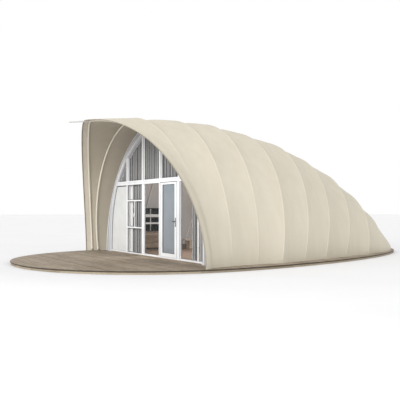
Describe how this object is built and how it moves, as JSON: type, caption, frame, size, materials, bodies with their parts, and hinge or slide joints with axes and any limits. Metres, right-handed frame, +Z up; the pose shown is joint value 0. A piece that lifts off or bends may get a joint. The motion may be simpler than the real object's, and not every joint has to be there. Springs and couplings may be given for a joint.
{
  "type": "glamping tent on an oval deck",
  "caption": "Arched membrane tent with a forward-leaning hood, a glazed front wall with a hinged door, and an oval timber deck under it.",
  "frame": {"origin": "middle of the deck's underside, under the middle of its length and width", "axes": "+Y from the hood and glazed front towards the low tail, +Z up, +X to the side the door is on"},
  "size_m": [7.46, 13.23, 3.946],
  "materials": {
    "edge_timber": "matte light tan boards on edge",
    "deck_timber": "matte weathered grey-brown boards",
    "floor_timber": "satin brown boards",
    "pole_sleeve": "matte cream sleeve over a metal pole",
    "rod_metal": "satin light grey",
    "membrane": "matte cream coated cloth",
    "frame_paint": "satin white paint",
    "closing_strip": "matte grey-white",
    "white_panel": "matte white",
    "clear_glass": "clear polished",
    "tinted_glass": "blue-grey tinted polished",
    "dark_metal": "satin dark grey",
    "hinge_steel": "brushed",
    "curtain": "matte grey cloth in pleats",
    "cabinet_wood": "satin warm brown",
    "shelf_black": "satin black board"
  },
  "bodies": {
    "tent": {"deck_base": "edge_timber", "deck_boards": "deck_timber", "room_floor": "floor_timber", "rim_pole": "pole_sleeve", "arch_pole_1": "pole_sleeve", "arch_pole_2": "pole_sleeve", "arch_pole_3": "pole_sleeve", "arch_pole_4": "pole_sleeve", "arch_pole_5": "pole_sleeve", "arch_pole_6": "pole_sleeve", "arch_pole_7": "pole_sleeve", "arch_pole_8": "pole_sleeve", "arch_pole_9": "pole_sleeve", "crown_rod": "rod_metal", "hood_membrane": "membrane", "bay_membrane_1": "membrane", "bay_membrane_2": "membrane", "bay_membrane_3": "membrane", "bay_membrane_4": "membrane", "bay_membrane_5": "membrane", "bay_membrane_6": "membrane", "bay_membrane_7": "membrane", "bay_membrane_8": "membrane", "tail_membrane": "membrane", "front_arch_frame": "frame_paint", "front_closing_strip": "closing_strip", "front_sill": "frame_paint", "front_bars": "frame_paint", "window_rails": "frame_paint", "white_panel": "white_panel", "side_glass": "clear_glass", "window_glass": "clear_glass", "fixed_glass": "clear_glass", "upper_glass": "clear_glass", "lower_hinge_on_frame": "hinge_steel", "upper_hinge_on_frame": "hinge_steel", "upper_curtain": "curtain", "window_curtain": "curtain", "side_curtain": "curtain", "low_cabinet": "cabinet_wood", "open_shelves": "shelf_black", "dark_box": "shelf_black", "wooden_stool": "cabinet_wood"},
    "door": {"door_leaf": "frame_paint", "door_glass": "tinted_glass", "door_lever": "dark_metal", "lower_hinge_on_leaf": "hinge_steel", "upper_hinge_on_leaf": "hinge_steel"}
  },
  "joints": [
    {"name": "door_swing", "type": "hinge", "parent": "tent", "child": "door", "pos_m": [0.558, -2.868, 1.151], "axis": [0, 0, -1], "range_deg": [0, 90]}
  ]
}
